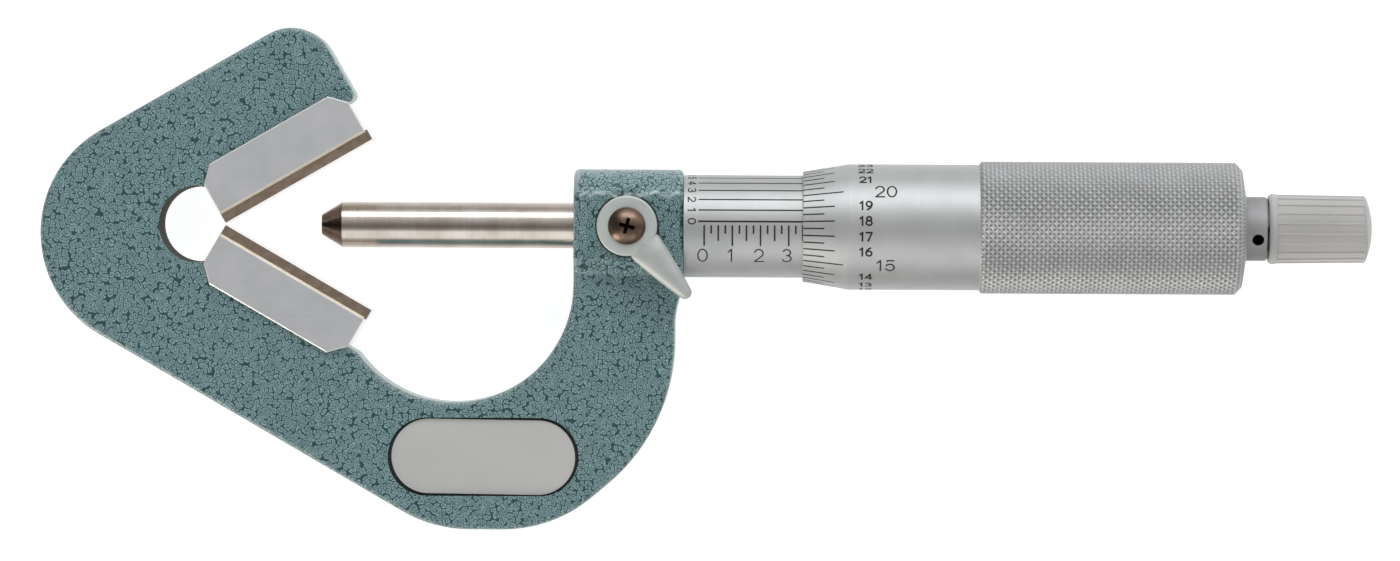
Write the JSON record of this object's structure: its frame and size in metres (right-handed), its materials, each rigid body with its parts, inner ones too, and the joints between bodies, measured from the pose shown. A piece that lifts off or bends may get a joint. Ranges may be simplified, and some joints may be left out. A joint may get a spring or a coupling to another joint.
{
  "type": "v-anvil micrometer",
  "caption": "Outside micrometer with a sixty degree V anvil for three-fluted tools, with lock lever and ratchet knob.",
  "frame": {"origin": "the point on the measuring axis where the two V faces would meet, at half the frame's thickness", "axes": "+X along the measuring axis from the V towards the ratchet knob, +Y to the short upper arm's side, +Z out of the frame's front, on which the lock lever and the name plate lie"},
  "size_m": [0.1807, 0.068, 0.019],
  "materials": {
    "frame_enamel": "hammertone enamel, teal grey with darker veins",
    "block_steel": "ground satin",
    "carbide": "ground carbide, brown grey",
    "plate_silver": "satin silver",
    "spindle_steel": "ground and polished",
    "satin_chrome": "satin chrome",
    "inner_steel": "turned",
    "lever_grey": "satin pale grey",
    "screw_bronze": "browned",
    "plug_brass": "turned",
    "knob_plastic": "moulded warm grey",
    "spring_steel": "drawn wire"
  },
  "bodies": {
    "frame_body": {"frame": "frame_enamel", "anvil_block_upper": "block_steel", "anvil_block_lower": "block_steel", "carbide_strip_upper": "carbide", "carbide_strip_lower": "carbide", "name_plate": "plate_silver", "inner_sleeve": "inner_steel", "adjusting_nut": "inner_steel"},
    "sleeve_body": {"scale_sleeve": "satin_chrome"},
    "nose_body": {"spindle_tip": "carbide"},
    "thimble_body": {"spindle": "spindle_steel", "thimble": "satin_chrome", "ratchet_shaft": "satin_chrome", "click_spring": "spring_steel", "spring_washer": "inner_steel", "retaining_clip": "spring_steel"},
    "pawl_body": {"ratchet_pawl": "inner_steel"},
    "knob_body": {"ratchet_knob": "knob_plastic", "ratchet_bush": "inner_steel"},
    "plug_body": {"lock_plug": "plug_brass"},
    "lever_body": {"lock_stem": "inner_steel", "lock_lever": "lever_grey", "lock_screw": "screw_bronze"}
  },
  "joints": [
    {"name": "spindle_travel", "type": "slide", "parent": "frame_body", "child": "nose_body", "axis": [1, 0, 0], "range_m": [-0.00953, 0.02503]},
    {"name": "thimble_turn", "type": "hinge", "parent": "nose_body", "child": "thimble_body", "pos_m": [0, 0, 0], "axis": [1, 0, 0], "range_deg": [-3600.5, 9461.3]},
    {"name": "ratchet_turn", "type": "hinge", "parent": "thimble_body", "child": "knob_body", "pos_m": [0.1488, 0, 0], "axis": [1, 0, 0], "continuous": true},
    {"name": "pawl_click", "type": "slide", "parent": "thimble_body", "child": "pawl_body", "axis": [1, 0, 0], "range_m": [0, 0.0003], "stiffness_N_per_m": 300, "springref_m": -0.0005, "deforming": ["click_spring"]},
    {"name": "sleeve_zero", "type": "hinge", "parent": "frame_body", "child": "sleeve_body", "pos_m": [0.0841, 0, 0], "axis": [1, 0, 0], "range_deg": [-15, 15]},
    {"name": "lock_travel", "type": "slide", "parent": "frame_body", "child": "plug_body", "axis": [0, 0, -1], "range_m": [0, 0.000125]},
    {"name": "lock_turn", "type": "hinge", "parent": "plug_body", "child": "lever_body", "pos_m": [0.05469, 0, 0.006], "axis": [0, 0, -1], "range_deg": [0, 60.1]}
  ],
  "couplings": [
    {"joint": "thimble_turn", "follows": "spindle_travel", "rad_per_m": 6596.5},
    {"joint": "lock_turn", "follows": "lock_travel", "rad_per_m": 8377.6}
  ]
}
